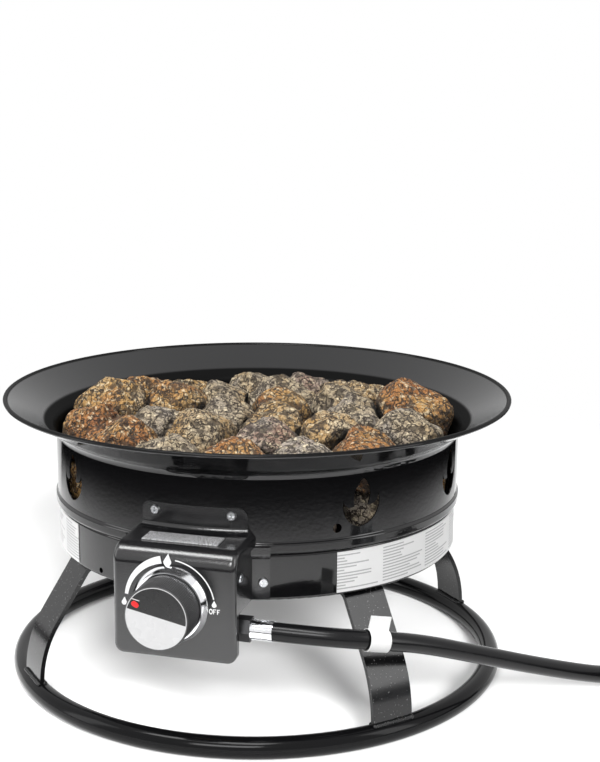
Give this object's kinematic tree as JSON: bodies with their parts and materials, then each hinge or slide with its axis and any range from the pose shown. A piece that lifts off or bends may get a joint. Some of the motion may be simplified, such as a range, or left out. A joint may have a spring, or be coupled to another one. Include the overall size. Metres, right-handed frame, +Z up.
{
  "type": "portable propane fire pit",
  "caption": "Round portable gas fire pit: flared steel bowl of lava stones over a ring burner, on a legged ring base, with a knob control box and a coiled hose with regulator.",
  "frame": {"origin": "on the floor under the bowl's axis", "axes": "+Z up, the control box faces -Y, +X to its right as seen from the front"},
  "size_m": [0.8224, 0.5251, 0.2799],
  "materials": {
    "enamel": "gloss black enamel",
    "leg_paint": "satin black paint",
    "cover_paint": "black fine-textured paint",
    "bright_steel": "bright zinc plate",
    "burner_steel": "mill finish",
    "brass": "turned",
    "cast_alloy": "die cast",
    "black_steel": "black oxide",
    "chrome": "polished",
    "knob_plastic": "fine-grained",
    "pointer_red": "satin",
    "hose_rubber": "satin",
    "white_label": "satin film",
    "strap_plastic": "satin",
    "hand_plastic": "satin",
    "lava_stone": "porous"
  },
  "bodies": {
    "stand": {"base_pan": "enamel", "base_ring": "enamel", "blank_plate_left": "white_label", "blank_plate_right": "white_label", "bowl_nuts": "bright_steel", "bowl_screws": "bright_steel", "bracket_left": "cover_paint", "bracket_right": "cover_paint", "bracket_screws": "bright_steel", "burner_base": "burner_steel", "burner_posts": "burner_steel", "burner_top": "burner_steel", "coil_straps": "strap_plastic", "connector_nipple": "brass", "control_cover": "cover_paint", "cover_screws": "bright_steel", "fire_bowl": "enamel", "flare_nut": "black_steel", "gas_orifice": "brass", "hose_coil": "hose_rubber", "hose_lead": "hose_rubber", "hose_tag": "white_label", "hose_tail": "hose_rubber", "inlet_elbow": "brass", "inlet_ferrule": "bright_steel", "knob_bezel": "chrome", "lava_stones_centre": "lava_stone", "lava_stones_lower": "lava_stone", "lava_stones_middle": "lava_stone", "lava_stones_outer": "lava_stone", "leg_bolts": "bright_steel", "leg_front_left": "leg_paint", "leg_front_right": "leg_paint", "leg_nuts": "bright_steel", "leg_rear_left": "leg_paint", "leg_rear_right": "leg_paint", "mixer_tube": "burner_steel", "outlet_ferrule": "bright_steel", "panel_nut": "bright_steel", "regulator_body": "cast_alloy", "regulator_cover": "cast_alloy", "regulator_screws": "bright_steel", "regulator_vent": "hand_plastic", "side_screws": "bright_steel", "valve_body": "cast_alloy", "valve_cap": "brass", "valve_plate": "bright_steel", "valve_screws": "bright_steel"},
    "valve_plug": {"valve_plug": "brass", "valve_spring": "bright_steel"},
    "knob": {"valve_stem": "bright_steel", "knob": "knob_plastic", "knob_face": "knob_plastic", "knob_pointer": "pointer_red"},
    "hand_nut": {"hand_nut": "hand_plastic"}
  },
  "joints": [
    {"name": "knob_turn", "type": "hinge", "parent": "stand", "child": "valve_plug", "pos_m": [-0.0025, -0.21, 0.1375], "axis": [0, 1, 0], "range_deg": [-31.5, 148.5]},
    {"name": "knob_push", "type": "slide", "parent": "valve_plug", "child": "knob", "axis": [0, 1, 0], "range_m": [0, 0.003], "stiffness_N_per_m": 1500, "deforming": ["valve_spring"]},
    {"name": "hand_nut_turn", "type": "hinge", "parent": "stand", "child": "hand_nut", "pos_m": [0.52931, -0.24633, 0.0263], "axis": [0, -1, 0], "continuous": true}
  ]
}
